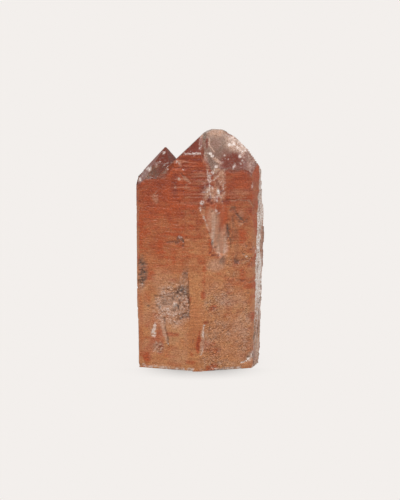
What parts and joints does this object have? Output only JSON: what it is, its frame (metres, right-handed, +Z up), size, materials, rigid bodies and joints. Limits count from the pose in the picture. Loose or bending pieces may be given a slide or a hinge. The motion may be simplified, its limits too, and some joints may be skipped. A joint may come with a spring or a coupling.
{
  "type": "lemurian quartz tower",
  "caption": "Natural red-stained lemurian quartz tower: a tall and a small crystal grown together, clear tips, ladder-ribbed faces and a flat-cut base.",
  "frame": {"origin": "middle of the cut base, under the centre of the stone's box", "axes": "+Z up the crystals to their tips, +Y from the wide front to the back, +X to the right seen from the front"},
  "size_m": [0.0478, 0.0294, 0.0886],
  "materials": {
    "quartz": "satin quartz stained red-orange, clear at the tips"
  },
  "bodies": {
    "root": {"crystal": "quartz"}
  },
  "joints": []
}
